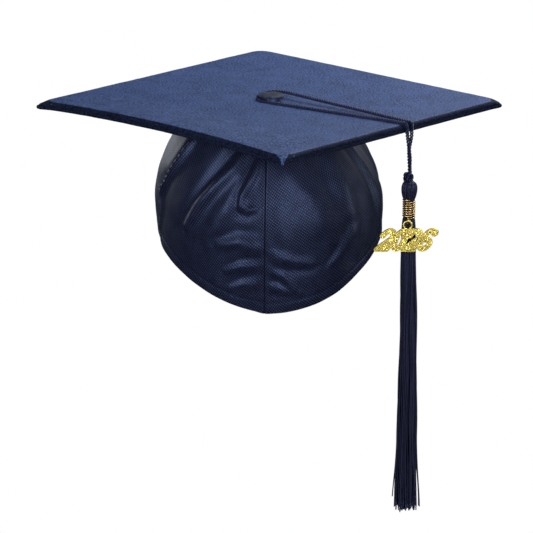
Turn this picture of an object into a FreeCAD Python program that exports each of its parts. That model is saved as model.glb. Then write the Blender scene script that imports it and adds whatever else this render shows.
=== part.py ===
"""Graduation cap: a square covered board on a sewn skullcap, with a button, a cord, a tassel and a date charm.

Millimetres. +Z is up through the button and -Y is the wearer's face side. The origin lies on the button's
axis, at the height where the skullcap's rim crosses its left and right sides.
"""
import FreeCAD, Part
import math
import os

V = FreeCAD.Vector
UP = V(0, 0, 1)
ORIGIN = V(0, 0, 0)
REACH = 130.0                  # half size of the helper blocks that cut the skullcap

# --- board ---------------------------------------------------------------------------------------------
BOARD_SIDE = 241.3             # 9.5 in, corner to the front
BOARD_TOP = 92.0               # top face above the side rim
BOARD_CORNER = 4.0             # corners are blunted
CLOTH = 0.6                    # board cloth with its glue
CORE = 3.9                     # pressed card
TURN_IN = 14.0                 # top cloth turned under the board
UNDER_INSET = 3.0              # under cloth stops this far inside the edge
BOARD_UNDER = BOARD_TOP - CORE - 3 * CLOTH

# --- skullcap ------------------------------------------------------------------------------------------
HALF_WIDTH = 84.0
HALF_LENGTH = 98.0
WAIST_Z = 12.0                 # widest level
DOME_RISE = 98.0               # full dome above the waist, cut off flat by the board
WALL_DEPTH = 200.0             # the long, nearly upright ellipsoid below the waist
WALL_ANGLE = 22.0              # how much of that ellipsoid is kept, degrees of latitude
TWILL = 1.0                    # satin twill with its lining
ADHESIVE = 0.3
CROWN_Z = BOARD_UNDER - ADHESIVE
SKULLCAP_TURN = -5.0           # the sewn cap sits a little turned under the board
FRONT_DIP = 45.0               # rim drops to a point at the forehead seam
FRONT_SHOULDER = (50.0, -30.0)  # the rim line passes here between point and side
BACK_DIP = 14.0                # gentler drop at the nape
HEM = 8.0
HEM_THICKNESS = 1.0
BINDING_HALF_WIDTH = 5.0
BINDING_THICKNESS = 0.6
BINDING_TOP = 78.0
CASING_START = 30.0            # the elastic casing runs round the back from here
CASING_HEIGHT = 16.0
CASING_WALL = 0.8
ELASTIC_THICKNESS = 1.2
ELASTIC_WIDTH = 11.0
ELASTIC_LIFT = 2.5

# --- button --------------------------------------------------------------------------------------------
BUTTON_RADIUS = 9.75
BUTTON_GAP = 2.9               # the cord passes in this gap under the button's edge
BUTTON_RISE = 5.3              # top of the dome above the board
BUTTON_EDGE = 0.35             # rounding of the button's rim, as a share of its height
BUTTON_FLAT = 0.6              # flat middle of the dome
BUTTON_CLOTH = 0.4
BUTTON_STEEL = 0.3
NECK_RADIUS = 5.5
PRONG_THICKNESS = 0.5
PRONG_WIDTH = 3.0
PRONG_FOOT = 9.0
PRONG_HOLE = 2.5
INTERFACING_RADIUS = 38.0
INTERFACING = 0.8
WASHER_RADIUS = 8.0
WASHER = 0.6
PAD_RADIUS = 14.0
PAD = 0.6

# --- cord ----------------------------------------------------------------------------------------------
CORD_DIAMETER = 2.5
ARC_SHARE = 0.45               # each bend takes this share of its shorter run
EDGE_TURN = -45.0              # the tassel hangs over the edge that faces this way, degrees from +X

# Route of the cord from the knot, over the edge, round the button and back: distance out towards the
# edge, distance along the edge, height above the board's top.
CORD_ROUTE = [
    (123.0, 15.1, -37.0),
    (122.5, 14.8, -31.0),
    (122.2, 14.4, -25.0),
    (122.0, 14.3, -20.0),
    (122.3, 14.6, -16.0),
    (123.0, 14.9, -12.0),
    (123.6, 15.3, -8.0),
    (122.7, 16.3, -3.8),
    (122.6, 16.7, 1.5),
    (117.4, 16.5, 1.4),
    (106.5, 16.3, 1.7),
    (84.0, 15.6, 2.3),
    (42.0, 14.1, 3.5),
    (17.0, 13.2, 4.3),
    (5.0, 13.1, 4.7),
    (-4.0, 12.2, 4.4),
    (-9.6, 7.4, 3.3),
    (-11.3, 0.6, 1.7),
    (-8.4, -6.2, 1.4),
    (-2.0, -9.8, 1.4),
    (6.5, -9.6, 1.4),
    (22.0, -6.6, 1.35),
    (46.0, -2.0, 1.35),
    (84.0, 4.6, 1.35),
    (106.5, 8.4, 1.4),
    (117.4, 9.9, 1.4),
    (122.6, 10.4, 1.5),
    (122.7, 11.0, -3.8),
    (122.4, 11.9, -8.0),
    (123.0, 12.1, -12.0),
    (123.7, 12.2, -16.0),
    (124.0, 12.5, -20.0),
    (124.4, 13.0, -25.0),
    (124.3, 12.8, -31.0),
    (124.0, 12.7, -37.0),
]
EDGE_BACK = 7                  # the run from this point up to the next one is where the cord turns over
EDGE_FRONT = 26

# --- tassel --------------------------------------------------------------------------------------------
TASSEL_OUT = 123.5             # the tassel's axis, out from the button and along the edge
TASSEL_ALONG = 13.7
KNOT_TOP = BOARD_TOP + CORD_ROUTE[0][2] - 0.2
KNOT_HEIGHT = 5.6
KNOT_RADIUS = 4.4
TAIL_RADIUS = 1.2
TAIL_SPREAD = 1.6
HEAD_TOP = 49.2
HEAD_BULGE = 43.6
HEAD_BULGE_RADIUS = 6.1
NECK_TOP = 37.3
NECK_BOTTOM = 22.6
NECK_CORE_RADIUS = 3.8
ANCHOR_RADIUS = 2.8
SKIRT_OUTLINE = [(4.6, NECK_BOTTOM), (5.3, 15.0), (6.0, -8.0), (6.4, -60.0), (7.6, -130.0), (8.9, -201.0)]

# --- coil and charm ------------------------------------------------------------------------------------
COIL_WIRE = 0.9
COIL_PITCH = 1.7
COIL_CLEARANCE = 0.1
COIL_RADIUS = NECK_CORE_RADIUS + COIL_WIRE / 2 + COIL_CLEARANCE
COIL_TURNS = 8
HOOK_WIRE = 0.8
HOOK_RADIUS = 1.75
CHARM_FORWARD = 8.4            # the charm hangs this far in front of the tassel's axis
CHARM_THICKNESS = 1.7
CHARM_SHIFT = -2.1             # middle of the digits, sideways from the tassel's axis
EYELET_SHIFT = -1.4
EYELET_RADIUS = 3.0
EYELET_WIRE = 1.3
EYELET_Z = 19.4
DIGIT_HEIGHT = 17.4
DIGIT_BOTTOM = -0.4
DIGIT_PITCH = 9.6
DIGIT_SLANT = math.tan(math.radians(20.0))
STROKE = 2.1                   # half width of a digit's stroke
BALL_EXTRA = 0.5               # the round end of a curl stands out from the stroke by this much
BORDER = 0.6                   # smooth border left round the glitter
GLITTER_DEPTH = 0.3


def save(name, shape):
    """Write one piece of the assembly as its own STEP file."""
    if not shape.isValid():
        print("INVALID", name)
    shape.exportStep("parts/" + name + ".step")
    print(name, len(shape.Solids), "solid(s)", round(shape.Volume, 1), "mm3")


def block(x0, x1, y0, y1, z0, z1):
    return Part.makeBox(x1 - x0, y1 - y0, z1 - z0, V(x0, y0, z0))


def disc(radius, z0, z1):
    return Part.makeCylinder(radius, z1 - z0, V(0, 0, z0))


def turned(shape, degrees, centre=ORIGIN):
    copy = shape.copy()
    copy.rotate(centre, UP, degrees)
    return copy


def lathe(edges):
    """Revolve a closed outline drawn in the XZ plane about the Z axis."""
    return Part.Face(Part.Wire(edges)).revolve(ORIGIN, UP, 360)


def polyline(points):
    return [Part.LineSegment(a, b).toShape() for a, b in zip(points, points[1:])]


# --- board ---------------------------------------------------------------------------------------------

def plate(side, z0, z1):
    """Square plate with blunt corners, standing on one corner as seen from above."""
    half = side / 2
    sheet = block(-half, half, -half, half, z0, z1)
    upright = [edge for edge in sheet.Edges if abs(edge.BoundBox.ZLength - (z1 - z0)) < 1e-6]
    return turned(sheet.makeFillet(BOARD_CORNER, upright), 45)


def make_board():
    under_cloth_top = BOARD_UNDER + CLOTH
    core_bottom = under_cloth_top + CLOTH
    core_top = core_bottom + CORE
    hole = disc(PRONG_HOLE, BOARD_UNDER - 1, BOARD_TOP + 1)
    core = plate(BOARD_SIDE - 2 * CLOTH, core_bottom, core_top)
    window = plate(BOARD_SIDE - 2 * TURN_IN, under_cloth_top - 1, core_bottom + 1)
    top = plate(BOARD_SIDE, under_cloth_top, BOARD_TOP).cut(core).cut(window).cut(hole)
    under = plate(BOARD_SIDE - 2 * UNDER_INSET, BOARD_UNDER, under_cloth_top)
    save("board_core", core.cut(hole))
    save("board_top_cover", top)
    save("board_bottom_cover", under.cut(hole))


# --- skullcap ------------------------------------------------------------------------------------------

def ellipsoid_band(inset, low_latitude, high_latitude, rise):
    """Part of an ellipsoid between two latitudes, with the skullcap's width and length."""
    ball = Part.makeSphere(1.0, ORIGIN, UP, low_latitude, high_latitude, 360)
    stretch = FreeCAD.Matrix()
    stretch.scale(HALF_WIDTH - inset, HALF_LENGTH - inset, rise - inset)
    band = ball.transformGeometry(stretch)
    band.translate(V(0, 0, WAIST_Z))
    return band


def dome(inset):
    """The solid inside the skullcap's outer face moved inwards by `inset`."""
    upper = ellipsoid_band(inset, 0, 90, DOME_RISE)
    lower = ellipsoid_band(inset, -WALL_ANGLE, 0, WALL_DEPTH)
    ceiling = block(-REACH, REACH, -REACH, REACH, CROWN_Z - inset, CROWN_Z + REACH)
    return upper.fuse(lower).cut(ceiling)


def below_rim(lift):
    """Everything below the rim line raised by `lift`: a rounded V in front and a shallow bow behind."""
    bottom = -REACH
    right = V(HALF_WIDTH, 0, lift)
    left = V(-HALF_WIDTH, 0, lift)
    outer = [left, V(-REACH, 0, lift), V(-REACH, 0, bottom), V(REACH, 0, bottom), V(REACH, 0, lift), right]
    point = V(0, 0, lift - FRONT_DIP)
    nape = V(0, 0, lift - BACK_DIP)
    shoulder_x, shoulder_z = FRONT_SHOULDER
    front = [
        Part.Arc(right, V(shoulder_x, 0, lift + shoulder_z), point).toShape(),
        Part.Arc(point, V(-shoulder_x, 0, lift + shoulder_z), left).toShape(),
    ]
    back = [Part.Arc(right, nape, left).toShape()]
    front_half = Part.Face(Part.Wire(polyline(outer) + front)).extrude(V(0, -REACH, 0))
    back_half = Part.Face(Part.Wire(polyline(outer) + back)).extrude(V(0, REACH, 0))
    return front_half.fuse(back_half)


def layer(outer_inset, inner_inset):
    return dome(outer_inset).cut(dome(inner_inset))


def rim_band(outer_inset, inner_inset, low, high):
    """Strip of a layer that follows the rim, between two heights above it."""
    return layer(outer_inset, inner_inset).common(below_rim(high)).cut(below_rim(low))


def make_skullcap():
    left_side = block(-REACH, 0, -REACH, REACH, -REACH, REACH)
    right_side = block(0, REACH, -REACH, REACH, -REACH, REACH)
    behind = block(-REACH, REACH, CASING_START, REACH, -REACH, REACH)

    panel = layer(0, TWILL).cut(below_rim(0)).cut(disc(PRONG_HOLE, 0, REACH))
    hem = rim_band(TWILL, TWILL + HEM_THICKNESS, 0, HEM).cut(behind)

    elastic_depth = TWILL + ELASTIC_THICKNESS
    tunnel = rim_band(TWILL, elastic_depth, ELASTIC_LIFT, ELASTIC_LIFT + ELASTIC_WIDTH).common(behind)
    casing = rim_band(TWILL, elastic_depth + CASING_WALL, 0, CASING_HEIGHT).common(behind).cut(tunnel)

    lining = layer(TWILL, TWILL + BINDING_THICKNESS)
    front_strip = block(-BINDING_HALF_WIDTH, BINDING_HALF_WIDTH, -REACH, 0, -REACH, BINDING_TOP)
    back_strip = block(-BINDING_HALF_WIDTH, BINDING_HALF_WIDTH, 0, REACH, -REACH, BINDING_TOP)

    pieces = {
        "skullcap_left": panel.common(left_side),
        "skullcap_right": panel.common(right_side),
        "hem_left": hem.common(left_side),
        "hem_right": hem.common(right_side),
        "elastic_band": tunnel,
        "elastic_casing": casing,
        "front_seam_binding": lining.common(front_strip).cut(below_rim(HEM)),
        "back_seam_binding": lining.common(back_strip).cut(below_rim(CASING_HEIGHT)),
    }
    for name, shape in pieces.items():
        save(name, turned(shape, SKULLCAP_TURN))


# --- button and its fixing -----------------------------------------------------------------------------

def button_form(inset):
    """The button's flat underside, rounded rim and low dome, moved inwards by `inset`."""
    low = BOARD_TOP + BUTTON_GAP + inset
    top = BOARD_TOP + BUTTON_RISE - inset
    rim = BUTTON_RADIUS - inset
    edge = BUTTON_EDGE * (top - low)
    shoulder = low + 2 * edge
    slope = (top - shoulder) * 0.8
    crown = V(BUTTON_FLAT, 0, top)
    outline = polyline([crown, V(0, 0, top), V(0, 0, low), V(rim - edge, 0, low)])
    outline.append(Part.Arc(V(rim - edge, 0, low), V(rim, 0, low + edge), V(rim - edge, 0, shoulder)).toShape())
    outline.append(Part.Arc(V(rim - edge, 0, shoulder), V(rim / 2, 0, shoulder + slope), crown).toShape())
    return lathe(outline)


def make_button():
    under = BOARD_TOP + BUTTON_GAP
    steel_outside = button_form(BUTTON_CLOTH)
    hollow = button_form(BUTTON_CLOTH + BUTTON_STEEL)
    mouth = disc(NECK_RADIUS + 1, under - 1, under + BUTTON_CLOTH + BUTTON_STEEL + 0.01)
    save("button_cover", button_form(0).cut(steel_outside).cut(mouth))
    save("button_shell", steel_outside.cut(hollow).cut(mouth))

    plate_top = under + BUTTON_CLOTH + BUTTON_STEEL
    slot_half = PRONG_THICKNESS + 0.15
    slot_width = PRONG_WIDTH / 2 + 0.15
    slot = block(-slot_half, slot_half, -slot_width, slot_width, BOARD_TOP - 1, plate_top + 1)
    neck = disc(NECK_RADIUS, BOARD_TOP, under).fuse(disc(NECK_RADIUS + 0.9, under, plate_top))
    save("button_back", neck.cut(slot))

    interfacing_top = CROWN_Z - TWILL
    washer_top = interfacing_top - INTERFACING
    foot_top = washer_top - WASHER
    pad_top = foot_top - PRONG_THICKNESS
    half = PRONG_WIDTH / 2
    gap = 0.05
    prong = block(-slot_half - 0.6, slot_half + 0.6, -half, half, plate_top, plate_top + 0.4)
    for side in (-1, 1):
        near = side * gap
        far = side * (gap + PRONG_THICKNESS)
        tip = side * PRONG_FOOT
        prong = prong.fuse(block(min(near, far), max(near, far), -half, half, pad_top, plate_top + 0.2))
        prong = prong.fuse(block(min(near, tip), max(near, tip), -half, half, pad_top, foot_top))
    save("button_prong", prong.removeSplitter())

    hole = disc(PRONG_HOLE, foot_top - 1, BOARD_UNDER + 1)
    save("crown_adhesive", disc(INTERFACING_RADIUS + 2, CROWN_Z, BOARD_UNDER).cut(hole))
    save("crown_interfacing", disc(INTERFACING_RADIUS, washer_top, interfacing_top).cut(hole))
    save("prong_washer", disc(WASHER_RADIUS, foot_top, washer_top).cut(hole))
    save("prong_pad", disc(PAD_RADIUS, pad_top - PAD, pad_top))


# --- cord ----------------------------------------------------------------------------------------------

def from_edge_frame(out, along, height):
    """A point given by its distances out to and along the tassel's edge, and above the board."""
    point = V(out, along, 0)
    angle = math.radians(EDGE_TURN)
    x = point.x * math.cos(angle) - point.y * math.sin(angle)
    y = point.x * math.sin(angle) + point.y * math.cos(angle)
    return V(x, y, BOARD_TOP + height)


def bend(before, corner, after):
    """Tangent arc at a corner of the route: where it starts, its middle, where it ends, its radius."""
    back = before - corner
    ahead = after - corner
    reach = ARC_SHARE * min(back.Length, ahead.Length)
    turn = math.pi - back.getAngle(ahead)
    radius = reach / math.tan(turn / 2)
    back.normalize()
    ahead.normalize()
    inward = back + ahead
    inward.normalize()
    depth = radius / math.cos(turn / 2) - radius
    return corner + back * reach, corner + inward * depth, corner + ahead * reach, radius


def cord_piece(route, bends, first, last):
    """Cord from the middle of the run before point `first` to the middle of the run after `last`.

    At the two ends of the route the cord starts or ends at the end point itself.
    """
    start = route[0] if first == 1 else (route[first - 1] + route[first]) / 2
    end = route[-1] if last == len(route) - 2 else (route[last] + route[last + 1]) / 2
    edges = []
    here = start
    for index in range(first, last + 1):
        into, middle, out, radius = bends[index]
        edges.append(Part.LineSegment(here, into).toShape())
        edges.append(Part.Arc(into, middle, out).toShape())
        here = out
    edges.append(Part.LineSegment(here, end).toShape())
    path = Part.Wire(edges)
    direction = bends[first][0] - start
    section = Part.Wire(Part.makeCircle(CORD_DIAMETER / 2, start, direction))
    tube = path.makePipeShell([section], True, False)
    expected = math.pi * (CORD_DIAMETER / 2) ** 2 * path.Length
    print("cord length", round(path.Length, 1), "volume ratio", round(tube.Volume / expected, 4))
    return tube


def make_cord():
    route = [from_edge_frame(*point) for point in CORD_ROUTE]
    bends = {}
    for index in range(1, len(route) - 1):
        bends[index] = bend(route[index - 1], route[index], route[index + 1])
    print("bend radii", [round(bends[index][3], 1) for index in sorted(bends)])
    save("cord_drop_back", cord_piece(route, bends, 1, EDGE_BACK))
    save("cord_loop", cord_piece(route, bends, EDGE_BACK + 1, EDGE_FRONT))
    save("cord_drop_front", cord_piece(route, bends, EDGE_FRONT + 1, len(route) - 2))


# --- tassel --------------------------------------------------------------------------------------------

def on_tassel_axis(shape):
    """Move a piece modelled about the Z axis to the tassel's own axis."""
    place = from_edge_frame(TASSEL_OUT, TASSEL_ALONG, 0)
    copy = shape.copy()
    copy.translate(V(place.x, place.y, 0))
    return copy


def rounded_bead(top, height, end_radius, bulge_radius):
    """Bead with flat ends and a bowed side."""
    bottom = top - height
    outline = polyline([V(end_radius, 0, bottom), V(0, 0, bottom), V(0, 0, top), V(end_radius, 0, top)])
    middle = V(bulge_radius, 0, (top + bottom) / 2)
    outline.append(Part.Arc(V(end_radius, 0, top), middle, V(end_radius, 0, bottom)).toShape())
    return lathe(outline)


def make_tassel():
    knot_bottom = KNOT_TOP - KNOT_HEIGHT
    save("tassel_knot", on_tassel_axis(rounded_bead(KNOT_TOP, KNOT_HEIGHT, 3.0, KNOT_RADIUS)))

    anchor_z = HEAD_BULGE - 1.5
    anchor = Part.makeSphere(ANCHOR_RADIUS, V(0, 0, anchor_z))
    chamber = Part.makeSphere(ANCHOR_RADIUS + 0.1, V(0, 0, anchor_z))
    tails = []
    channels = []
    for side in (-1, 1):
        foot = V(side * TAIL_SPREAD, 0, anchor_z)
        tails.append(Part.makeCylinder(TAIL_RADIUS, knot_bottom - anchor_z, foot).cut(chamber))
        channels.append(Part.makeCylinder(TAIL_RADIUS + 0.05, knot_bottom - anchor_z, foot))
    save("cord_tails", on_tassel_axis(Part.makeCompound(tails)))
    save("anchor_knot", on_tassel_axis(anchor))

    head = [
        Part.LineSegment(V(0, 0, HEAD_TOP), V(2.9, 0, HEAD_TOP)).toShape(),
        Part.Arc(V(2.9, 0, HEAD_TOP), V(5.3, 0, HEAD_TOP - 1.8), V(HEAD_BULGE_RADIUS, 0, HEAD_BULGE)).toShape(),
        Part.Arc(V(HEAD_BULGE_RADIUS, 0, HEAD_BULGE), V(6.0, 0, NECK_TOP + 2.6), V(5.4, 0, NECK_TOP)).toShape(),
    ]
    head += polyline([V(5.4, 0, NECK_TOP), V(0, 0, NECK_TOP), V(0, 0, HEAD_TOP)])
    head_solid = lathe(head).cut(chamber)
    for channel in channels:
        head_solid = head_solid.cut(channel)
    save("tassel_head", on_tassel_axis(head_solid))
    save("neck_binding", on_tassel_axis(disc(NECK_CORE_RADIUS, NECK_BOTTOM, NECK_TOP)))

    side = Part.BSplineCurve()
    side.interpolate([V(radius, 0, z) for radius, z in SKIRT_OUTLINE])
    last_radius, last_z = SKIRT_OUTLINE[-1]
    first_radius, first_z = SKIRT_OUTLINE[0]
    skirt = [side.toShape()]
    skirt += polyline([V(last_radius, 0, last_z), V(0, 0, last_z), V(0, 0, first_z), V(first_radius, 0, first_z)])
    save("tassel_skirt", on_tassel_axis(lathe(skirt)))


# --- coil and charm ------------------------------------------------------------------------------------

def make_coil():
    """Close-wound wire coil round the neck, ending in front."""
    height = COIL_PITCH * COIL_TURNS
    helix = Part.makeHelix(COIL_PITCH, height, COIL_RADIUS)
    start = V(COIL_RADIUS, 0, 0)
    tangent = V(0, 2 * math.pi * COIL_RADIUS, COIL_PITCH)
    circle = Part.Circle(start, tangent, COIL_WIRE / 2)
    thirds = [Part.Arc(circle, turn, turn + math.tau / 3) for turn in (0, math.tau / 3, 2 * math.tau / 3)]
    section = Part.Wire([arc.toShape() for arc in thirds])
    coil = Part.Wire(helix).makePipeShell([section], True, True)
    coil.rotate(ORIGIN, UP, -90)
    coil.translate(V(0, 0, NECK_BOTTOM + COIL_WIRE / 2 + COIL_CLEARANCE))
    save("neck_coil", on_tassel_axis(coil))

    eyelet_top = EYELET_Z + EYELET_RADIUS
    hook_z = eyelet_top + HOOK_RADIUS - HOOK_WIRE / 2 - EYELET_WIRE / 2 - 0.3
    centre = V(EYELET_SHIFT, -CHARM_FORWARD, hook_z)
    ring = Part.makeTorus(HOOK_RADIUS, HOOK_WIRE / 2, centre, V(1, 0, 0))
    coil_reach = COIL_RADIUS + COIL_WIRE / 2
    coil_face = -math.sqrt(coil_reach * coil_reach - EYELET_SHIFT * EYELET_SHIFT)
    arm_end = V(EYELET_SHIFT, coil_face, NECK_BOTTOM + COIL_WIRE / 2)
    arm_start = V(EYELET_SHIFT, -CHARM_FORWARD + HOOK_RADIUS, hook_z)
    arm_line = arm_end - arm_start
    arm = Part.makeCylinder(HOOK_WIRE / 2, arm_line.Length, arm_start, arm_line)
    save("coil_hook", on_tassel_axis(ring.fuse(arm)))


def ring_sector(centre, radius, half_stroke, start, sweep, depth):
    """Curved stroke of a digit."""
    outer = Part.makeCylinder(radius + half_stroke, depth, centre, UP, sweep)
    inner = Part.makeCylinder(max(radius - half_stroke, 0.05), depth, centre, UP, sweep)
    return turned(outer.cut(inner), start, centre)


def straight_stroke(start, end, half_stroke, depth):
    """Straight stroke of a digit with round ends."""
    line = end - start
    across = V(-line.y, line.x, 0)
    across.normalize()
    across = across * half_stroke
    corners = [start + across, end + across, end - across, start - across, start + across]
    bar = Part.Face(Part.makePolygon(corners)).extrude(UP * depth)
    for tip in (start, end):
        bar = bar.fuse(Part.makeCylinder(half_stroke, depth, tip))
    return bar


def digit_zero(stroke, depth):
    half_height = DIGIT_HEIGHT / 2
    half_width = 5.6
    inset = STROKE - stroke
    oval = Part.Ellipse(ORIGIN, half_height - inset, half_width - inset).toShape()
    gap = Part.Ellipse(ORIGIN, half_height - 2 * STROKE + inset, 0.8 + inset).toShape()
    solid = Part.Face(Part.Wire(oval)).extrude(UP * depth)
    hole = Part.Face(Part.Wire(gap)).extrude(UP * depth)
    return turned(solid.cut(hole), 90)


def digit_two(stroke, depth):
    half_height = DIGIT_HEIGHT / 2
    bow = 3.7
    centre = V(0, half_height - STROKE - bow, 0)
    base = -half_height + STROKE
    start = math.radians(165.0)
    tip = centre + V(bow * math.cos(start), bow * math.sin(start), 0)
    leave = math.radians(-30.0)
    join = centre + V(bow * math.cos(leave), bow * math.sin(leave), 0)
    corner = V(-4.6, base, 0)
    foot = V(3.0, base, 0)
    shape = ring_sector(centre, bow, stroke, -30.0, 195.0, depth)
    shape = shape.fuse(Part.makeCylinder(stroke + BALL_EXTRA, depth, tip))
    shape = shape.fuse(straight_stroke(join, corner, stroke, depth))
    shape = shape.fuse(straight_stroke(corner, foot, stroke, depth))
    return shape.fuse(straight_stroke(foot, foot + V(0.3, 2.0, 0), stroke, depth))


def digit_six(stroke, depth):
    """Closed bowl with a long side stroke that curls over to the right at the top."""
    half_height = DIGIT_HEIGHT / 2
    bowl = 3.4
    curl = 3.2
    centre = V(0, -half_height + STROKE + bowl, 0)
    curl_centre = V(1.7, half_height - STROKE - curl, 0)
    out = bowl + curl_centre.x
    rise = curl_centre.y - centre.y
    side_radius = (out * out + rise * rise - curl * curl) / (2 * (out - curl))
    side_centre = centre + V(side_radius - bowl, 0, 0)
    meet = math.degrees(math.atan2(rise, out - side_radius))
    curl_end = 30.0
    end = math.radians(curl_end)
    tip = curl_centre + V(curl * math.cos(end), curl * math.sin(end), 0)
    shape = ring_sector(centre, bowl, stroke, 0.0, 360.0, depth)
    shape = shape.fuse(ring_sector(side_centre, side_radius, stroke, meet, 180.0 - meet, depth))
    shape = shape.fuse(ring_sector(curl_centre, curl, stroke, curl_end, meet - curl_end, depth))
    return shape.fuse(Part.makeCylinder(stroke + BALL_EXTRA, depth, tip))


def date_digits(stroke, depth):
    """The four digits side by side, lying in the XY plane with their middle at the origin."""
    makers = (digit_two, digit_zero, digit_two, digit_six)
    result = None
    for place, maker in enumerate(makers):
        glyph = maker(stroke, depth)
        glyph.translate(V((place - (len(makers) - 1) / 2) * DIGIT_PITCH, 0, 0))
        result = glyph if result is None else result.fuse(glyph)
    return result.removeSplitter()


def slanted_upright(shape):
    """Slant a flat piece, stand it up facing the front and bring it in front of the tassel."""
    slant = FreeCAD.Matrix()
    slant.A12 = DIGIT_SLANT
    result = shape.transformGeometry(slant)
    result.rotate(ORIGIN, V(1, 0, 0), 90)
    result.translate(V(CHARM_SHIFT, CHARM_THICKNESS / 2 - CHARM_FORWARD, DIGIT_BOTTOM + DIGIT_HEIGHT / 2))
    return on_tassel_axis(result)


def make_charm():
    glitter = date_digits(STROKE - BORDER, GLITTER_DEPTH)
    glitter.translate(UP * (CHARM_THICKNESS - GLITTER_DEPTH))
    top = DIGIT_HEIGHT / 2
    bridge = straight_stroke(V(-4.5, top - 1.4, 0), V(2.0, top - 1.4, 0), 1.2, CHARM_THICKNESS)
    body = date_digits(STROKE, CHARM_THICKNESS).fuse(bridge).cut(glitter)
    eyelet_centre = V(EYELET_SHIFT, -CHARM_FORWARD, EYELET_Z)
    eyelet = on_tassel_axis(Part.makeTorus(EYELET_RADIUS, EYELET_WIRE / 2, eyelet_centre, V(0, 1, 0)))
    save("charm_digits", slanted_upright(body.removeSplitter()).fuse(eyelet))
    save("charm_glitter", slanted_upright(glitter))


os.makedirs("parts", exist_ok=True)
make_board()
make_skullcap()
make_button()
make_cord()
make_tassel()
make_coil()
make_charm()
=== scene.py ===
"""Graduation cap: the looks of each piece, in the CAD frame. Metres and radians throughout."""

import math
import random

import bpy
from mathutils import Matrix, Vector, noise


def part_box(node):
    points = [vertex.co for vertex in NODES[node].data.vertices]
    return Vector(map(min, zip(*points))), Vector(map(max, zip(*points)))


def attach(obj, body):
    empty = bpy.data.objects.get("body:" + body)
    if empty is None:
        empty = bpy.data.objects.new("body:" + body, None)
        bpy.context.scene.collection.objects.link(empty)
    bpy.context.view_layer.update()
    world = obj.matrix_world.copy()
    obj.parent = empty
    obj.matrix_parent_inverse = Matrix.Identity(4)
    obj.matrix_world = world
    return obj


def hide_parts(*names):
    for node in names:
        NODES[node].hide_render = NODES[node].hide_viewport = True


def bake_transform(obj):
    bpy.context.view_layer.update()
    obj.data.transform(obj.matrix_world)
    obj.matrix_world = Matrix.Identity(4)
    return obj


MM = 0.001
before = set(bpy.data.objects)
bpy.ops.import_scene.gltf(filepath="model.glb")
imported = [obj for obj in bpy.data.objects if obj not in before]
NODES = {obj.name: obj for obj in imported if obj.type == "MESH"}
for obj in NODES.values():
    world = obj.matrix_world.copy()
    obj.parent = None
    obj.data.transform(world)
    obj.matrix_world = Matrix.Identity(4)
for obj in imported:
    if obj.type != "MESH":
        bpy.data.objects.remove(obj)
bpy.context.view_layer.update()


BOARD_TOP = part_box("board_top_cover")[1].z
BOARD_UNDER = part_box("board_top_cover")[0].z
BOARD_HALF = 120.65 * MM
CROWN_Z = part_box("skullcap_left")[1].z
HEAD_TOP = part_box("tassel_head")[1].z
NECK_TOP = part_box("neck_binding")[1].z
SKIRT_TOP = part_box("tassel_skirt")[1].z
SKIRT_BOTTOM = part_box("tassel_skirt")[0].z
KNOT_LOW, KNOT_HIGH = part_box("tassel_knot")
# 123.5 mm out from the button towards the tassel's edge and 13.7 mm along that edge.
TASSEL_AXIS = Vector((97.02 * MM, -77.64 * MM, 0))


# --- mesh helpers ------------------------------------------

def mesh_object(name, points, faces, material, uv=None):
    """A smooth-shaded mesh; uv gives one pair for each point."""
    mesh = bpy.data.meshes.new(name)
    mesh.from_pydata([tuple(point) for point in points], [], faces)
    mesh.materials.append(material)
    mesh.polygons.foreach_set("use_smooth", [True] * len(mesh.polygons))
    if uv:
        layer = mesh.uv_layers.new(name="UVMap")
        for loop in mesh.loops:
            layer.data[loop.index].uv = uv[loop.vertex_index]
    mesh.update()
    obj = bpy.data.objects.new(name, mesh)
    bpy.context.scene.collection.objects.link(obj)
    return obj


def add_modifier(obj, kind, **settings):
    modifier = obj.modifiers.new(kind.title(), kind)
    for key, value in settings.items():
        setattr(modifier, key, value)
    return modifier


def grid_faces(rows, columns, first=0, closed=False):
    faces = []
    for row in range(rows - 1):
        for column in range(columns if closed else columns - 1):
            after = (column + 1) % columns
            here = first + row * columns
            below = here + columns
            faces.append((here + column, below + column, below + after, here + after))
    return faces


def turned_over(faces):
    return [tuple(reversed(face)) for face in faces]


def frames_along(points, closed=False):
    """Point, side and up vectors at each point of a path, turning no more than the path does."""
    count = len(points)
    frames = []
    side = None
    for index, point in enumerate(points):
        ahead = points[(index + 1) % count] if closed else points[min(index + 1, count - 1)]
        behind = points[index - 1] if closed or index else points[0]
        tangent = (ahead - behind).normalized()
        if side is None:
            side = tangent.orthogonal().normalized()
        side = (side - tangent * side.dot(tangent)).normalized()
        frames.append((point, side, tangent.cross(side)))
    return frames


def add_tube(points, faces, path, radius, sides, closed=False):
    """Adds a tube along the path; radius is a number or one number for each point."""
    first = len(points)
    for index, (centre, side, up) in enumerate(frames_along(path, closed)):
        size = radius[index] if isinstance(radius, list) else radius
        for k in range(sides):
            angle = math.tau * k / sides
            points.append(centre + side * (size * math.cos(angle)) + up * (size * math.sin(angle)))
    faces += grid_faces(len(path), sides, first, closed=True)
    last = first + (len(path) - 1) * sides
    if closed:
        for k in range(sides):
            after = (k + 1) % sides
            faces.append((last + k, first + k, first + after, last + after))
    else:
        faces.append(tuple(range(first + sides - 1, first - 1, -1)))
        faces.append(tuple(range(last, last + sides)))


def tubes_object(name, paths, radius, sides, material):
    points, faces = [], []
    for path in paths:
        add_tube(points, faces, path, radius, sides)
    return mesh_object(name, points, faces, material)


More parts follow.
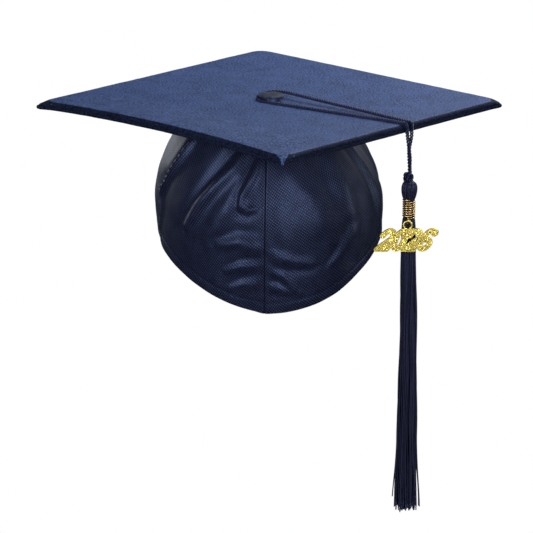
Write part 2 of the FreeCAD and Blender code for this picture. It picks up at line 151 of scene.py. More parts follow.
def even_steps(path, step):
    """Points at even spacing along a polyline."""
    lengths = [0.0]
    for before, after in zip(path, path[1:]):
        lengths.append(lengths[-1] + (after - before).length)
    count = max(2, round(lengths[-1] / step))
    result = []
    segment = 0
    for k in range(count + 1):
        target = lengths[-1] * k / count
        while segment < len(path) - 2 and lengths[segment + 1] < target:
            segment += 1
        run = lengths[segment + 1] - lengths[segment]
        share = (target - lengths[segment]) / run if run else 0
        result.append(path[segment].lerp(path[segment + 1], share))
    return result


def twisted_strands(path, closed=False):
    """Strand paths laid round a cord's centreline."""
    frames = frames_along(path, closed)
    step = (path[1] - path[0]).length
    total = step * (len(path) if closed else len(path) - 1)
    turns = max(1, round(total / STRAND_PITCH)) / total
    strands = []
    for k in range(STRANDS):
        strand = []
        for index, (centre, side, up) in enumerate(frames):
            angle = math.tau * (k / STRANDS + index * step * turns)
            strand.append(centre + (side * math.cos(angle) + up * math.sin(angle)) * STRAND_OFFSET)
        strands.append(strand)
    return strands


def bump_noise(point, spacing, seed=0.0):
    return noise.noise(Vector((point[0] + seed, point[1], point[2])) / spacing)


def smooth_step(value):
    value = min(1.0, max(0.0, value))
    return value * value * (3 - 2 * value)


# --- materials ---------------------------------------------

def new_material(name, **shader):
    material = bpy.data.materials.new(name)
    material.use_nodes = True
    surface = material.node_tree.nodes["Principled BSDF"]
    for socket, value in shader.items():
        surface.inputs[socket.replace("_", " ")].default_value = value
    return material


def add_node(material, kind, settings=(), **inputs):
    """A node with constants or links on its inputs; underscores in names stand for spaces."""
    tree = material.node_tree
    node = tree.nodes.new("ShaderNode" + kind)
    for key, value in dict(settings).items():
        setattr(node, key, value)
    for socket, value in inputs.items():
        numbered = socket[0] == "i" and socket[1:].isdigit()
        target = node.inputs[int(socket[1:]) if numbered else socket.replace("_", " ")]
        if isinstance(value, bpy.types.NodeSocket):
            tree.links.new(value, target)
        else:
            target.default_value = value
    return node


def connect(material, output, socket):
    surface = material.node_tree.nodes["Principled BSDF"]
    material.node_tree.links.new(output, surface.inputs[socket])


def coordinates(material, kind):
    return add_node(material, "TexCoord").outputs[kind]


def grain(material, place, spacing, detail=2.0):
    return add_node(material, "TexNoise", Vector=place, Scale=1 / spacing, Detail=detail).outputs["Fac"]


def bands(material, place, period, turn):
    """Stripes of that period across the UV plane, turned by an angle."""
    turned = add_node(material, "Mapping", Vector=place, Rotation=(0, 0, turn)).outputs["Vector"]
    scale = math.tau / 20 / period
    return add_node(material, "TexWave", {"bands_direction": "X"}, Vector=turned, Scale=scale).outputs["Fac"]


def combine(material, operation, first, second):
    return add_node(material, "Math", {"operation": operation}, i0=first, i1=second).outputs["Value"]


def share_of(material, value, share):
    return combine(material, "MULTIPLY", value, share)


def ramp(material, factor, low_colour, high_colour, low=0.0, high=1.0):
    node = add_node(material, "ValToRGB", Fac=factor)
    node.color_ramp.elements[0].position = low
    node.color_ramp.elements[1].position = high
    node.color_ramp.elements[0].color = (*low_colour, 1)
    node.color_ramp.elements[1].color = (*high_colour, 1)
    return node.outputs["Color"]


def add_bump(material, height, depth):
    node = add_node(material, "Bump", Height=height, Distance=depth, Strength=1.0)
    connect(material, node.outputs["Normal"], "Normal")


SATIN_TINT = (0.38, 0.52, 1.0)  # the cloth's own blue in its highlights


def board_satin(name, dark, light, gloss=0.25):
    """Matte side of a satin: a fine irregular grain."""
    material = new_material(name, Roughness=0.62, Specular_IOR_Level=gloss, Specular_Tint=(*SATIN_TINT, 1))
    place = coordinates(material, "Object")
    fine = grain(material, place, 1.4 * MM, 2.0)
    broad = grain(material, place, 14 * MM)
    mixed = combine(material, "ADD", share_of(material, fine, 0.85), share_of(material, broad, 0.15))
    connect(material, ramp(material, mixed, dark, light, 0.42, 0.58), "Base Color")
    add_bump(material, fine, 0.5 * MM)
    return material


def twill_cloth(name, dark, light, roughness=0.42, gloss=1.0):
    """Cloth with a fine diagonal weave in the UV plane, which is in metres."""
    material = new_material(name, Roughness=roughness, Specular_Tint=(*SATIN_TINT, 1))
    place = coordinates(material, "UV")
    rising = bands(material, place, 1.6 * MM, math.radians(35))
    falling = bands(material, place, 1.8 * MM, math.radians(-55))
    weave = combine(material, "MULTIPLY", rising, falling)
    patchy = grain(material, place, 9 * MM)
    shade = combine(material, "ADD", share_of(material, weave, 0.7), share_of(material, patchy, 0.3))
    connect(material, ramp(material, shade, dark, light, 0.1, 0.75), "Base Color")
    sheen = add_node(material, "MapRange", Value=weave, To_Min=0.3 * gloss, To_Max=gloss)
    connect(material, sheen.outputs["Result"], "Specular IOR Level")
    add_bump(material, shade, 0.14 * MM)
    return material


def thread_material(name, dark, light, roughness=0.5):
    material = new_material(name, Roughness=roughness, Specular_Tint=(*SATIN_TINT, 1))
    place = coordinates(material, "Object")
    fine = grain(material, place, 0.35 * MM, 1.0)
    varied = add_node(material, "NewGeometry").outputs["Random Per Island"]
    shade = combine(material, "ADD", share_of(material, fine, 0.5), share_of(material, varied, 0.5))
    connect(material, ramp(material, shade, dark, light, 0.15, 0.85), "Base Color")
    add_bump(material, fine, 0.1 * MM)
    return material


def metal(name, colour, roughness, spacing, depth):
    material = new_material(name, Metallic=1.0)
    place = coordinates(material, "Object")
    marks = grain(material, place, spacing, 4.0)
    darker = tuple(value * 0.72 for value in colour)
    connect(material, ramp(material, marks, darker, colour, 0.3, 0.65), "Base Color")
    rough = add_node(material, "MapRange", Value=marks, To_Min=roughness, To_Max=roughness + 0.15)
    connect(material, rough.outputs["Result"], "Roughness")
    add_bump(material, marks, depth)
    return material


def glitter_flakes():
    """Gold flakes, each its own tone."""
    material = new_material("glitter_flakes", Metallic=1.0, Roughness=0.22)
    varied = add_node(material, "NewGeometry").outputs["Random Per Island"]
    connect(material, ramp(material, varied, (0.50, 0.36, 0.04), (1.0, 0.86, 0.32)), "Base Color")
    return material


def speckled(name, colour, contrast, spacing, roughness):
    material = new_material(name, Roughness=roughness)
    place = coordinates(material, "Object")
    fibres = grain(material, place, spacing, 5.0)
    darker = tuple(value * contrast for value in colour)
    connect(material, ramp(material, fibres, darker, colour, 0.35, 0.65), "Base Color")
    add_bump(material, fibres, 0.1 * MM)
    return material


def pale_floor():
    """Overexposed studio paper: white to look at, while its bounced light stays dim."""
    material = new_material("pale_floor", Roughness=0.8)
    place = coordinates(material, "Object")
    patches = grain(material, place, 0.3)
    connect(material, ramp(material, patches, (0.17, 0.20, 0.27), (0.20, 0.23, 0.30)), "Base Color")
    tree = material.node_tree
    glow = add_node(material, "Emission", Color=(1, 1, 1, 1), Strength=1.0)
    seen = add_node(material, "LightPath").outputs["Is Camera Ray"]
    both = add_node(material, "MixShader", i0=seen)
    tree.links.new(tree.nodes["Principled BSDF"].outputs["BSDF"], both.inputs[1])
    tree.links.new(glow.outputs["Emission"], both.inputs[2])
    tree.links.new(both.outputs["Shader"], tree.nodes["Material Output"].inputs["Surface"])
    return material


MATERIALS = {
    "board_satin": board_satin("board_satin", (0.015, 0.028, 0.078), (0.069, 0.114, 0.272)),
    # A darker copy of the board satin for the edge band: painted shade on the board's sides.
    "board_side_painted_shade": board_satin("board_side_painted_shade", (0.004, 0.006, 0.016), (0.013, 0.018, 0.040), 0.05),
    # A darker, greyer copy of the board satin for the button: painted shade standing in for its dark
    # reflection.
    "button_painted_shade_satin": board_satin("button_painted_shade_satin", (0.012, 0.015, 0.026), (0.045, 0.052, 0.078)),
    "under_cloth": twill_cloth("under_cloth", (0.008, 0.011, 0.028), (0.026, 0.034, 0.075), 0.6, 0.4),
    "twill": twill_cloth("twill", (0.0016, 0.0020, 0.006), (0.026, 0.031, 0.070)),
    "lining": twill_cloth("lining", (0.006, 0.008, 0.020), (0.022, 0.030, 0.075), 0.6, 0.4),
    "cord": thread_material("cord_thread", (0.001, 0.0012, 0.007), (0.037, 0.039, 0.112), 0.35),
    "tassel_thread": thread_material("tassel_thread", (0.005, 0.005, 0.012), (0.022, 0.0215, 0.047), 0.45),
    "stitching": thread_material("stitching", (0.004, 0.005, 0.012), (0.016, 0.020, 0.045)),
    "gold_wire": metal("gold_wire", (0.95, 0.66, 0.23), 0.3, 0.8 * MM, 0.02 * MM),
    "gold": metal("gold", (1.0, 0.80, 0.19), 0.38, 1.2 * MM, 0.02 * MM),
    "glitter": metal("glitter", (1.0, 0.80, 0.18), 0.45, 0.35 * MM, 0.08 * MM),
    "steel": metal("steel", (0.56, 0.57, 0.58), 0.3, 2 * MM, 0.02 * MM),
    "lacquer": metal("blue_lacquer", (0.13, 0.19, 0.42), 0.45, 2 * MM, 0.02 * MM),
    "board_card": speckled("board_card", (0.30, 0.26, 0.20), 0.7, 1.0 * MM, 0.9),
    "interfacing": speckled("interfacing", (0.55, 0.55, 0.53), 0.7, 0.8 * MM, 0.9),
    "adhesive": speckled("adhesive", (0.75, 0.72, 0.6), 0.8, 3 * MM, 0.4),
}


def dress(name, material):
    """Gives a CAD node its finish."""
    slots = NODES[name].data.materials
    slots.clear()
    slots.append(MATERIALS[material])


# --- camera, light and floor -------------------------------

ELEVATION, YAW, ROLL = math.radians(13.535), math.radians(-2.874), math.radians(0.5)
CAMERA_DISTANCE = 3.0
CAMERA_LENS = 273.75            # focal length in mm
AIM_RIGHT, AIM_DOWN = -3.4 * MM, 123 * MM


def make_camera():
    """Long lens, tilted down onto the board, aimed below the board's middle so that the tassel fits."""
    flat = math.cos(ELEVATION)
    back = Vector((math.sin(YAW) * flat, -math.cos(YAW) * flat, math.sin(ELEVATION)))
    level = (-back).cross(Vector((0, 0, 1))).normalized()
    upward = level.cross(-back)
    right = level * math.cos(ROLL) + upward * math.sin(ROLL)
    up = upward * math.cos(ROLL) - level * math.sin(ROLL)
    centre = Vector((0, 0, BOARD_TOP))
    position = centre + back * CAMERA_DISTANCE
    aim = centre + right * AIM_RIGHT - up * AIM_DOWN
    backward = (position - aim).normalized()
    right = (right - backward * right.dot(backward)).normalized()
    data = bpy.data.cameras.new("camera")
    data.lens = CAMERA_LENS
    camera = bpy.data.objects.new("camera", data)
    bpy.context.scene.collection.objects.link(camera)
    axes = Matrix((right, backward.cross(right), backward)).transposed().to_4x4()
    camera.matrix_world = Matrix.Translation(position) @ axes
    bpy.context.scene.camera = camera


def make_light(name, position, target, size, power):
    data = bpy.data.lights.new(name, "AREA")
    data.shape = "RECTANGLE"
    data.size, data.size_y = size
    data.energy = power
    light = bpy.data.objects.new(name, data)
    bpy.context.scene.collection.objects.link(light)
    direction = Vector(position) - Vector(target)
    light.location = position
    light.rotation_euler = direction.to_track_quat("Z", "Y").to_euler()


ROOM_LIGHT = 0.08              # dim room round the lights
FLOOR_DEPTH = -5.0             # far enough below that the cap can be looked at from underneath
FLOOR_HALF = 12.0


def make_room():
    """White paper to look at, a dim blue room to be lit by."""
    world = bpy.data.worlds.new("studio")
    world.use_nodes = True
    tree = world.node_tree
    room = tree.nodes["Background"]
    room.inputs["Color"].default_value = (0.5, 0.66, 1, 1)
    room.inputs["Strength"].default_value = ROOM_LIGHT
    paper = tree.nodes.new("ShaderNodeBackground")
    paper.inputs["Color"].default_value = (1, 1, 1, 1)
    seen = tree.nodes.new("ShaderNodeLightPath")
    both = tree.nodes.new("ShaderNodeMixShader")
    tree.links.new(seen.outputs["Is Camera Ray"], both.inputs[0])
    tree.links.new(room.outputs["Background"], both.inputs[1])
    tree.links.new(paper.outputs["Background"], both.inputs[2])
    tree.links.new(both.outputs["Shader"], tree.nodes["World Output"].inputs["Surface"])
    bpy.context.scene.world = world


def make_studio():
    make_room()
    bpy.context.scene.view_settings.view_transform = "Standard"
    corners = [Vector((x * FLOOR_HALF, y * FLOOR_HALF, FLOOR_DEPTH)) for y in (-1, 1) for x in (-1, 1)]
    mesh_object("floor", corners, [(0, 1, 3, 2)], pale_floor())
    make_light("overhead_right", (0.45, 0.35, 0.75), (0.1, 0.05, BOARD_TOP), (0.5, 0.5), 7.5)
    make_light("back_right", (0.9, 1.6, 0.55), (0, 0, BOARD_TOP), (1.2, 0.5), 4)
    make_light("front_left", (-1.35, -1.35, 0.55), (0, 0, 0), (0.5, 0.7), 22)
    make_light("front_right", (0.75, -1.65, 0.5), (0, 0, 0), (0.9, 0.8), 18)
    make_light("front_low", (0.15, -1.9, -0.35), (0.05, 0, 0), (1.3, 0.4), 1.5)
    make_light("below", (0.1, 0.5, -1.7), (0, 0, 0), (1.0, 1.0), 9)
    make_light("back_left", (-1.3, 1.9, 0.25), (0, 0, 0), (0.8, 0.8), 6)
    make_light("side_right", (1.9, 0.1, 0.2), (0, 0, 0), (0.6, 0.8), 5)


# --- board -------------------------------------------------

# Inset from the board's edge, height below its top, corner radius: the wrapped edge from the top down.
EDGE_PROFILE = [
    (9.0, 0.0, 11.0), (5.0, 0.02, 11.5), (3.0, 0.08, 11.5), (1.7, 0.22, 11.0), (0.8, 0.55, 10.0),
    (0.3, 1.05, 8.5), (0.06, 1.7, 6.5), (0.0, 2.3, 4.8), (0.12, 2.75, 4.0), (0.75, 3.05, 3.4),
    (0.75, 3.2, 3.0), (0.1, 3.45, 2.6), (0.0, 3.9, 2.2), (0.02, 4.6, 2.0), (0.25, 5.2, 2.0),
    (0.9, 5.6, 2.4), (2.2, 5.7, 3.0), (14.0, 5.7, 4.0),
]
FACE_INSETS = [118.5 - 3.7 * k for k in range(29)]
EDGE_BOW = 4.0 * MM             # how far the left front edge bows up at its middle
COVER_CLOTH = 0.4 * MM          # thickness of both cloths over the board
SIDE_POINTS, CORNER_POINTS = 72, 8  # points along each side and round each corner of the board
# The faces at the front tip, third corner round, where the top's lit cloth folds down over the edge.
LIT_TIP = range(2 * (SIDE_POINTS + CORNER_POINTS) + 2, 2 * (SIDE_POINTS + CORNER_POINTS) + 6)
# How far the folded cloth stands out at the right, back, left and front tips, in mm.
TIP_REACH = (1.6, 0.8, 3.2, 1.2)


def square_ring(half, corner, height):
    """Rounded square about the vertical axis, its corners on the X and Y axes."""
    ring = []
    for quarter in range(4):
        turn = Matrix.Rotation(math.radians(45 + 90 * quarter), 3, "Z")
        straight = half - corner
        for k in range(CORNER_POINTS):
            angle = math.pi / 2 * k / CORNER_POINTS
            x, y = straight + corner * math.cos(angle), straight + corner * math.sin(angle)
            ring.append(turn @ Vector((x, y, height)))
        for k in range(SIDE_POINTS):
            along = straight - 2 * straight * k / SIDE_POINTS
            ring.append(turn @ Vector((along, half, height)))
    return ring


def tip_reach(point, drop):
    """Extra reach of the folded cloth at a tip, growing down the edge band."""
    corner = round(math.degrees(math.atan2(point.y, point.x)) / 90) % 4
    tip = Matrix.Rotation(math.pi / 2 * corner, 3, "Z") @ Vector((BOARD_HALF * math.sqrt(2), 0, 0))
    away = math.hypot(point.x - tip.x, point.y - tip.y)
    near_tip = math.exp(-((away / (7 * MM)) ** 2))
    return TIP_REACH[corner] * MM * near_tip * smooth_step((drop - 0.4 * MM) / (3 * MM))


def edge_bow(point):
    """How far the board's left front edge bows upwards at a point; the rest of the board lies flat."""
    out = -(point.x + point.y) / math.sqrt(2) / BOARD_HALF
    along = (point.x - point.y) / math.sqrt(2) / BOARD_HALF
    return EDGE_BOW * max(0.0, 1 - along * along) * smooth_step((out - 0.45) / 0.55)


def make_board():
    rings = []
    for inset in FACE_INSETS:
        half = BOARD_HALF - inset * MM
        rings.append(square_ring(half, min(11.0 * MM, half), BOARD_TOP))
    for inset, drop, corner in EDGE_PROFILE:
        rings.append(square_ring(BOARD_HALF - inset * MM, corner * MM, BOARD_TOP - drop * MM))
    count = len(rings[0])
    points = []
    for row, ring in enumerate(rings):
        for point in ring:
            outward = Vector((point.x, point.y, 0)).normalized()
            if row < len(FACE_INSETS) + 1:
                wave = 0.22 * MM * bump_noise(point, 45 * MM) + 0.08 * MM * bump_noise(point, 14 * MM, 3.0)
                point.z += wave * smooth_step(point.length / (60 * MM)) - 0.1 * MM
            elif row < len(rings) - 2:
                swell = 0.3 * MM * bump_noise(point, 22 * MM) + 0.14 * MM * bump_noise(point, 6 * MM, 7.0)
                point += outward * (swell - 0.15 * MM)
                point += outward * tip_reach(point, BOARD_TOP - point.z)
                point.z += 0.12 * MM * bump_noise(point, 9 * MM, 5.0) - 0.06 * MM
            point.z += edge_bow(point)
            points.append(point)
    faces = turned_over(grid_faces(len(rings), count, closed=True))
    faces.append(tuple(range(count)))
    cover = mesh_object("board_top_satin", points, faces, MATERIALS["board_satin"])
    cover.data.materials.append(MATERIALS["board_side_painted_shade"])
    # Faces down the edge band take the darker copy, painted shade; the front tip keeps the top's lit satin.
    for face in cover.data.polygons:
        drop = BOARD_TOP + edge_bow(face.center) - face.center.z
        face.material_index = int(drop > 0.3 * MM and face.index % count not in LIT_TIP)
    add_modifier(cover, "SOLIDIFY", thickness=COVER_CLOTH, offset=-1)
    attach(cover, "cap")
    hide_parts("board_top_cover")
    make_corner_tucks()
    make_under_cover()
    make_core()


def make_corner_tucks():
    """At each corner the cloth is folded like a parcel: a pleat slants down across the edge band."""
    points, faces = [], []
    for quarter in range(4):
        turn = Matrix.Rotation(math.radians(45 + 90 * quarter), 3, "Z")
        for reach, lift, radius in ((9.5, 0.9, 0.42), (6.0, 1.8, 0.3)):
            path = []
            for k in range(15):
                share = k / 14
                from_corner = reach * (1 - smooth_step(share) * 0.85)
                drop = lift + (5.3 - lift) * smooth_step(share) ** 1.2
                along = BOARD_HALF - (from_corner + 3.0) * MM
                point = turn @ Vector((along, BOARD_HALF - 0.1 * MM, BOARD_TOP - drop * MM))
                point.z += edge_bow(point)
                path.append(point)
            swell = [0.35 + 0.65 * math.sin(math.pi * (0.1 + 0.8 * k / 14)) for k in range(15)]
            add_tube(points, faces, path, [radius * MM * size for size in swell], 8)
    tucks = mesh_object("board_corner_tucks", points, faces, MATERIALS["board_satin"])
    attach(tucks, "cap")


def make_core():
    """Pressed card inside the covers, its corners knocked round by wear."""
    low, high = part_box("board_core")
    rings = []
    insets = (100.0, 80.0, 65.0, 50.0, 35.0, 20.0, 10.0, 2.6)
    profile = [(inset, high.z) for inset in insets]
    profile += [(1.6, high.z - 0.5 * MM), (1.6, low.z + 0.5 * MM)]
    profile += [(inset, low.z) for inset in reversed(insets)]
    for inset, height in profile:
        rings.append(square_ring(BOARD_HALF - inset * MM, min(12.0, 120.65 - inset) * MM, height))
    points = [point + Vector((0, 0, edge_bow(point))) for ring in rings for point in ring]
    count = len(rings[0])
    faces = [tuple(reversed(range(count)))] + turned_over(grid_faces(len(rings), count, closed=True))
    faces.append(tuple(range(len(points) - count, len(points))))
    card = mesh_object("board_core_card", points, faces, MATERIALS["board_card"])
    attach(card, "cap")
    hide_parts("board_core")


def make_under_cover():
    """Flat cloth under the board, covering the raw edges of the turned top cover."""
    rings = []
    profile = [(inset, 0.0) for inset in (115.0, 85.0, 50.0, 25.0, 8.0, 1.5)]
    profile += [(0.3, 0.15), (0.0, 0.4)]
    for inset, height in profile:
        half = BOARD_HALF - (3.0 + inset) * MM
        rings.append(square_ring(half, min(4.0 * MM, half), BOARD_UNDER + height * MM))
    points = []
    for ring in rings:
        for point in ring:
            point.z += 0.2 * MM * (bump_noise(point, 30 * MM, 2.0) + 0.4 * bump_noise(point, 8 * MM, 4.0))
            point.z += edge_bow(point)
            points.append(point)
    count = len(rings[0])
    faces = [tuple(range(count))] + grid_faces(len(rings), count, closed=True)
    uv = [(point.x, point.y) for point in points]
    cover = mesh_object("board_under_cloth", points, faces, MATERIALS["under_cloth"], uv)
    add_modifier(cover, "SOLIDIFY", thickness=COVER_CLOTH, offset=1)
    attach(cover, "cap")
    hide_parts("board_bottom_cover")


# --- skullcap ----------------------------------------------

HALF_WIDTH, HALF_LENGTH = 84 * MM, 98 * MM
WAIST_Z, DOME_RISE, WALL_DEPTH = 12 * MM, 98 * MM, 200 * MM
CAP_CLOTH = 0.9 * MM            # thickness of the skullcap's cloth
CAP_TURN = Matrix.Rotation(math.radians(-5), 3, "Z")
RIGHT_SLOPE = 9.0 * MM          # how far the cap's right shoulder falls in under the board
# Creases of the cap: points of (angle round from the front seam in degrees, negative to the left, and
# height in mm), then ridge height and width in mm.
FOLDS = [
    ([(-52, 80), (-55, 68), (-60, 55), (-67, 38), (-75, 22)], 4.4, 3.4),
    ([(-9, 80), (-18, 62), (-28, 47), (-36, 33), (-44, 14)], 4.2, 5.2),
    ([(-3.5, 67), (-8, 53), (-12, 42), (-12.5, 34)], 2.6, 3.2),
    ([(-12.5, 36), (-9, 33), (-5, 34)], 1.8, 3.0),
    ([(-6, 66), (-15, 44), (-23, 27), (-31, 8)], 2.0, 8.0),
    ([(-70, 34), (-71, 15), (-74, -4)], 2.2, 3.4),
    ([(-85, 78), (-88, 40), (-90, 4)], 3.4, 20.0),
    ([(-3, 6), (-13, 9), (-24, 5)], 2.2, 5.0),
    ([(-3, -8), (-12, -9), (-20, -14)], 1.8, 3.2),
    ([(-3, -22), (-11, -23), (-18, -27)], 1.5, 3.4),
    ([(3, -12), (9, -16), (15, -26)], 1.8, 3.2),
    ([(3, -23), (10, -27), (18, -30)], 1.2, 3.2),
    ([(5, -1), (14, -5), (24, -8)], 1.8, 4.2),
    ([(2, 66), (14, 55), (25, 40), (30, 20)], 1.1, 9.0),
    ([(48, 10), (40, -4), (34, -12)], 1.5, 3.6),
    ([(43, 78), (46, 44), (50, 10), (52, -6)], 1.6, 8.0),
    ([(66, 76), (74, 46), (77, 18), (78, 0)], 2.2, 5.0),
    ([(100, 74), (108, 40), (112, 8)], 2.6, 9.0),
    ([(135, 74), (140, 44), (143, 16)], 2.8, 9.0),
    ([(-108, 74), (-114, 44), (-118, 12)], 2.6, 8.0),
    ([(-135, 76), (-142, 46), (-146, 16)], 2.8, 9.0),
]
DEGREE_ARC = 1.55              # mm along the skullcap for each degree round it


def rim_height(x, behind):
    """Height of the rim line at a sideways distance: a rounded V in front, a shallow bow behind."""
    share = min(1.0, abs(x) / HALF_WIDTH)
    if behind:
        return -5.85 * MM - 9 * MM * (1 - share * share)
    drop = 45 * MM * (1 - 0.62 * share**1.6 - 0.25 * share**6)
    return -drop - 2.6 * MM * math.tanh(x / (25 * MM)) * (1 - share**6)


def ellipse_radius(z):
    depth = DOME_RISE if z > WAIST_Z else WALL_DEPTH
    return math.sqrt(max(0.0, 1 - ((z - WAIST_Z) / depth) ** 2))


def rim_at(angle):
    """Rim height at an angle round the cap from the front seam."""
    z = 0.0
    for _ in range(5):
        z = rim_height(HALF_WIDTH * ellipse_radius(z) * math.sin(angle), math.cos(angle) < 0)
    return z


def distance_to_line(point, start, end):
    """Distance, signed side and share along for a point and a segment, in a flat plane."""
    run_x, run_y = end[0] - start[0], end[1] - start[1]
    length = math.hypot(run_x, run_y)
    off_x, off_y = point[0] - start[0], point[1] - start[1]
    share = min(1.0, max(0.0, (off_x * run_x + off_y * run_y) / (length * length)))
    near = math.hypot(off_x - share * run_x, off_y - share * run_y)
    side = 1 if run_x * off_y - run_y * off_x > 0 else -1
    return near, side, share


def fold_height(angle, z):
    """How far the creases push the cloth out, at an angle in degrees and a height, all in mm."""
    total = 0.0
    for line, height, width in FOLDS:
        best = None
        for k in range(len(line) - 1):
            start = (line[k][0] * DEGREE_ARC, line[k][1])
            end = (line[k + 1][0] * DEGREE_ARC, line[k + 1][1])
            near, side, share = distance_to_line((angle * DEGREE_ARC, z), start, end)
            if best is None or near < best[0]:
                best = (near, side, (k + share) / (len(line) - 1))
        near, side, share = best
        if near > 4 * width:
            continue
        strength = 0.45 + 0.55 * math.sin(math.pi * min(1.0, 0.15 + 0.85 * share))
        sharp = width * (1.25 - 0.6 * share)
        total += height * strength * math.exp(-((near / sharp) ** 2))
        valley = near + side * 1.7 * sharp
        total -= 0.5 * height * strength * math.exp(-((valley / sharp) ** 2))
    return total


def cap_point(angle, z, inset=0.0, crown_share=1.0):
    """A point of the skullcap's cloth; crown_share under 1 runs inwards over the flat crown."""
    radius = ellipse_radius(z) * crown_share
    base = Vector((HALF_WIDTH * radius * math.sin(angle), -HALF_LENGTH * radius * math.cos(angle), z))
    base.x -= RIGHT_SLOPE * smooth_step((z - 15 * MM) / (75 * MM)) * max(0.0, math.sin(angle)) ** 2
    depth = DOME_RISE if z > WAIST_Z else WALL_DEPTH
    normal = Vector((base.x / HALF_WIDTH**2, base.y / HALF_LENGTH**2, (z - WAIST_Z) / depth**2)).normalized()
    free = smooth_step((CROWN_Z - z) / (16 * MM))
    degrees = math.degrees(angle)
    out = fold_height(degrees, z / MM) * MM * free
    ripples = 1.3 * bump_noise(base, 38 * MM) + 0.4 * bump_noise(base, 13 * MM, 9.0) - 0.4
    out += free * ripples * MM
    seam = min(abs(degrees), 180 - abs(degrees)) * DEGREE_ARC * MM
    out *= smooth_step(seam / (9 * MM)) * 0.85 + 0.15
    out -= free * 0.6 * MM * math.exp(-((seam / (0.7 * MM)) ** 2))
    above_rim = z - rim_at(angle)
    out -= free * 0.45 * MM * math.exp(-(((above_rim - 8 * MM) / (0.9 * MM)) ** 2))
    behind = smooth_step((base.y - 24 * MM) / (14 * MM)) * smooth_step((34 * MM - above_rim) / (22 * MM))
    out += behind * 1.5 * MM * math.sin(math.radians(degrees * 30) + 2 * bump_noise(base, 20 * MM, 4.0))
    return CAP_TURN @ (base + normal * (out - inset))


def panel_heights(angle, rows_above, rows_below):
    """Heights down one meridian, from the crown to the rim."""
    top = math.asin((CROWN_Z - WAIST_Z) / DOME_RISE)
    heights = [WAIST_Z + DOME_RISE * math.sin(top * (1 - k / rows_above)) for k in range(rows_above)]
    rim = rim_at(angle)
    heights += [WAIST_Z + (rim - WAIST_Z) * k / rows_below for k in range(rows_below + 1)]
    return heights


def panel_angles(side, count, start=0.0, end=180.0):
    """Angles of one side, closer together next to the seams."""
    angles = []
    for k in range(count):
        share = k / (count - 1)
        eased = share - 0.08 * math.sin(math.tau * share)
        angles.append(math.radians(side * (start + (end - start) * eased)))
    return angles


def make_panel(name, side, node):
    """One side of the skullcap, from inside the flat crown down to the rim."""
    rows_above, rows_below, crown_rows, columns = 64, 40, 8, 150
    points, uv = [], []
    angles = panel_angles(side, columns)
    columns_of_heights = [panel_heights(angle, rows_above, rows_below) for angle in angles]
    for row in range(crown_rows + rows_above + rows_below + 1):
        for angle, heights in zip(angles, columns_of_heights):
            if row < crown_rows:
                share = 0.5 + 0.5 * row / crown_rows
                point = cap_point(angle, heights[0], 0.0, share)
            else:
                point = cap_point(angle, heights[row - crown_rows])
            points.append(point)
            uv.append((math.degrees(angle) * DEGREE_ARC * MM, point.z))
    faces = grid_faces(crown_rows + rows_above + rows_below + 1, columns)
    if side < 0:
        faces = turned_over(faces)
    panel = mesh_object(name, points, faces, MATERIALS["twill"], uv)
    panel.data.materials.append(MATERIALS["lining"])
    add_modifier(panel, "SOLIDIFY", thickness=CAP_CLOTH, offset=-1, material_offset=1, material_offset_rim=0)
    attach(panel, "cap")
    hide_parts(node)


def make_hem(name, side, node):
    """The rim turned up inside the cap."""
    angles = panel_angles(side, 110, 0.6, 103.0)
    heights_up = (0.0, 0.5, 2.0, 4.0, 6.0, 7.4, 8.0)
    points, uv = [], []
    for up in heights_up:
        for angle in angles:
            inset = 1.0 * MM + 0.35 * MM * (1 - abs(up - 4.0) / 4.0)
            point = cap_point(angle, rim_at(angle) + up * MM, inset)
            points.append(point)
            uv.append((math.degrees(angle) * DEGREE_ARC * MM, point.z))
    faces = grid_faces(len(heights_up), len(angles))
    if side < 0:
        faces = turned_over(faces)
    hem = mesh_object(name, points, faces, MATERIALS["lining"], uv)
    add_modifier(hem, "SOLIDIFY", thickness=CAP_CLOTH, offset=1)
    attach(hem, "cap")
    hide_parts(node)


def make_stitches(name, start, end, above_rim, spacing=2.4):
    """A row of machine stitches round the rim, each a short thread half sunk in the cloth."""
    paths = []
    angle = start
    while angle < end:
        long = 1.5 / DEGREE_ARC
        path = []
        for k in range(5):
            here = math.radians(angle + long * k / 4)
            sunk = 0.12 * MM * (1 - math.sin(math.pi * k / 4)) - 0.16 * MM
            path.append(cap_point(here, rim_at(here) + above_rim * MM, sunk))
        paths.append(path)
        angle += spacing / DEGREE_ARC
    stitches = tubes_object(name, paths, 0.17 * MM, 6, MATERIALS["stitching"])
    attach(stitches, "cap")


def make_casing():
    """Elastic casing inside the back, drawn into gathers."""
    rows = (0.0, 1.0, 3.0, 6.0, 9.0, 12.0, 14.5, 16.0)
    columns = 260
    first, last = 108.0, 252.0
    points, uv = [], []
    for up in rows:
        for k in range(columns):
            degrees = first + (last - first) * k / (columns - 1)
            angle = math.radians(degrees)
            wrapped = math.radians(degrees - 360) if degrees > 180 else angle
            puff = 1.6 * math.sin(math.pi * min(1.0, up / 15.0)) * MM
            ripple = 0.5 * MM * math.sin(degrees * 2.2) * math.sin(math.pi * up / 16.0)
            point = cap_point(wrapped, rim_at(wrapped) + up * MM, 1.6 * MM + puff + ripple)
            points.append(point)
            uv.append((degrees * DEGREE_ARC * MM, point.z))
    faces = grid_faces(len(rows), columns)
    casing = mesh_object("elastic_casing_gathered", points, faces, MATERIALS["lining"], uv)
    add_modifier(casing, "SOLIDIFY", thickness=0.5 * MM, offset=0)
    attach(casing, "cap")
    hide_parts("elastic_casing", "elastic_band")


